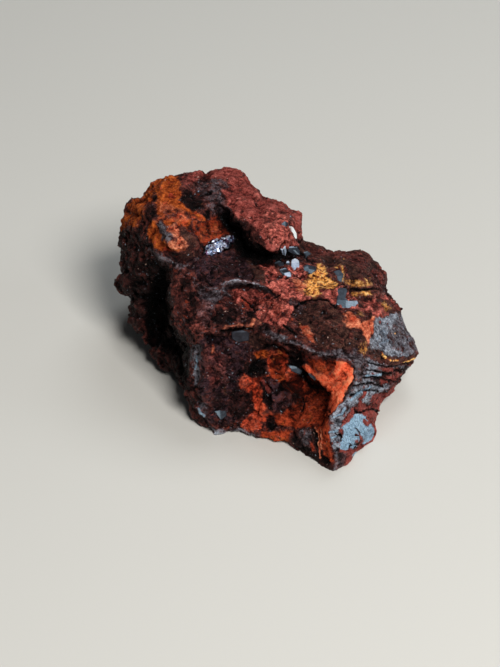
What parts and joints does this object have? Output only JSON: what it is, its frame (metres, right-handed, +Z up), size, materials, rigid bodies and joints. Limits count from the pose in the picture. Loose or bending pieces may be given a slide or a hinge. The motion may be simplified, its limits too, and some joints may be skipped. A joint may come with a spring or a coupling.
{
  "type": "pyrite on limonite mineral specimen",
  "caption": "Rough red-brown limonite stone with steel-grey pyrite faces and small flat pyrite crystals set in it, lying on a flat underside.",
  "frame": {"origin": "middle of the bounding box's bottom, in the plane that the stone rests on", "axes": "+Z up, the show face turned to -Y and upwards, +X to the right of someone looking at the show face"},
  "size_m": [0.028, 0.0294, 0.0162],
  "materials": {
    "limonite": "rough, earthy, brown-red with orange and near-black parts",
    "pyrite": "metallic, steel grey to pale blue"
  },
  "bodies": {
    "root": {"limonite_matrix": "limonite", "pyrite_druse": "pyrite", "pyrite_sheet": "pyrite", "pyrite_blade": "pyrite", "pyrite_shard": "pyrite", "pyrite_plate_bent": "pyrite", "pyrite_plate_foot": "pyrite", "pyrite_plate_left": "pyrite", "pyrite_plate_lower": "pyrite", "pyrite_plate_pentagon": "pyrite", "pyrite_plate_right": "pyrite", "pyrite_plate_shoulder": "pyrite", "pyrite_plate_slate": "pyrite", "pyrite_plate_small": "pyrite", "pyrite_plate_square": "pyrite", "pyrite_plate_teal": "pyrite", "pyrite_plate_upper": "pyrite", "pyrite_plate_white": "pyrite"}
  },
  "joints": []
}
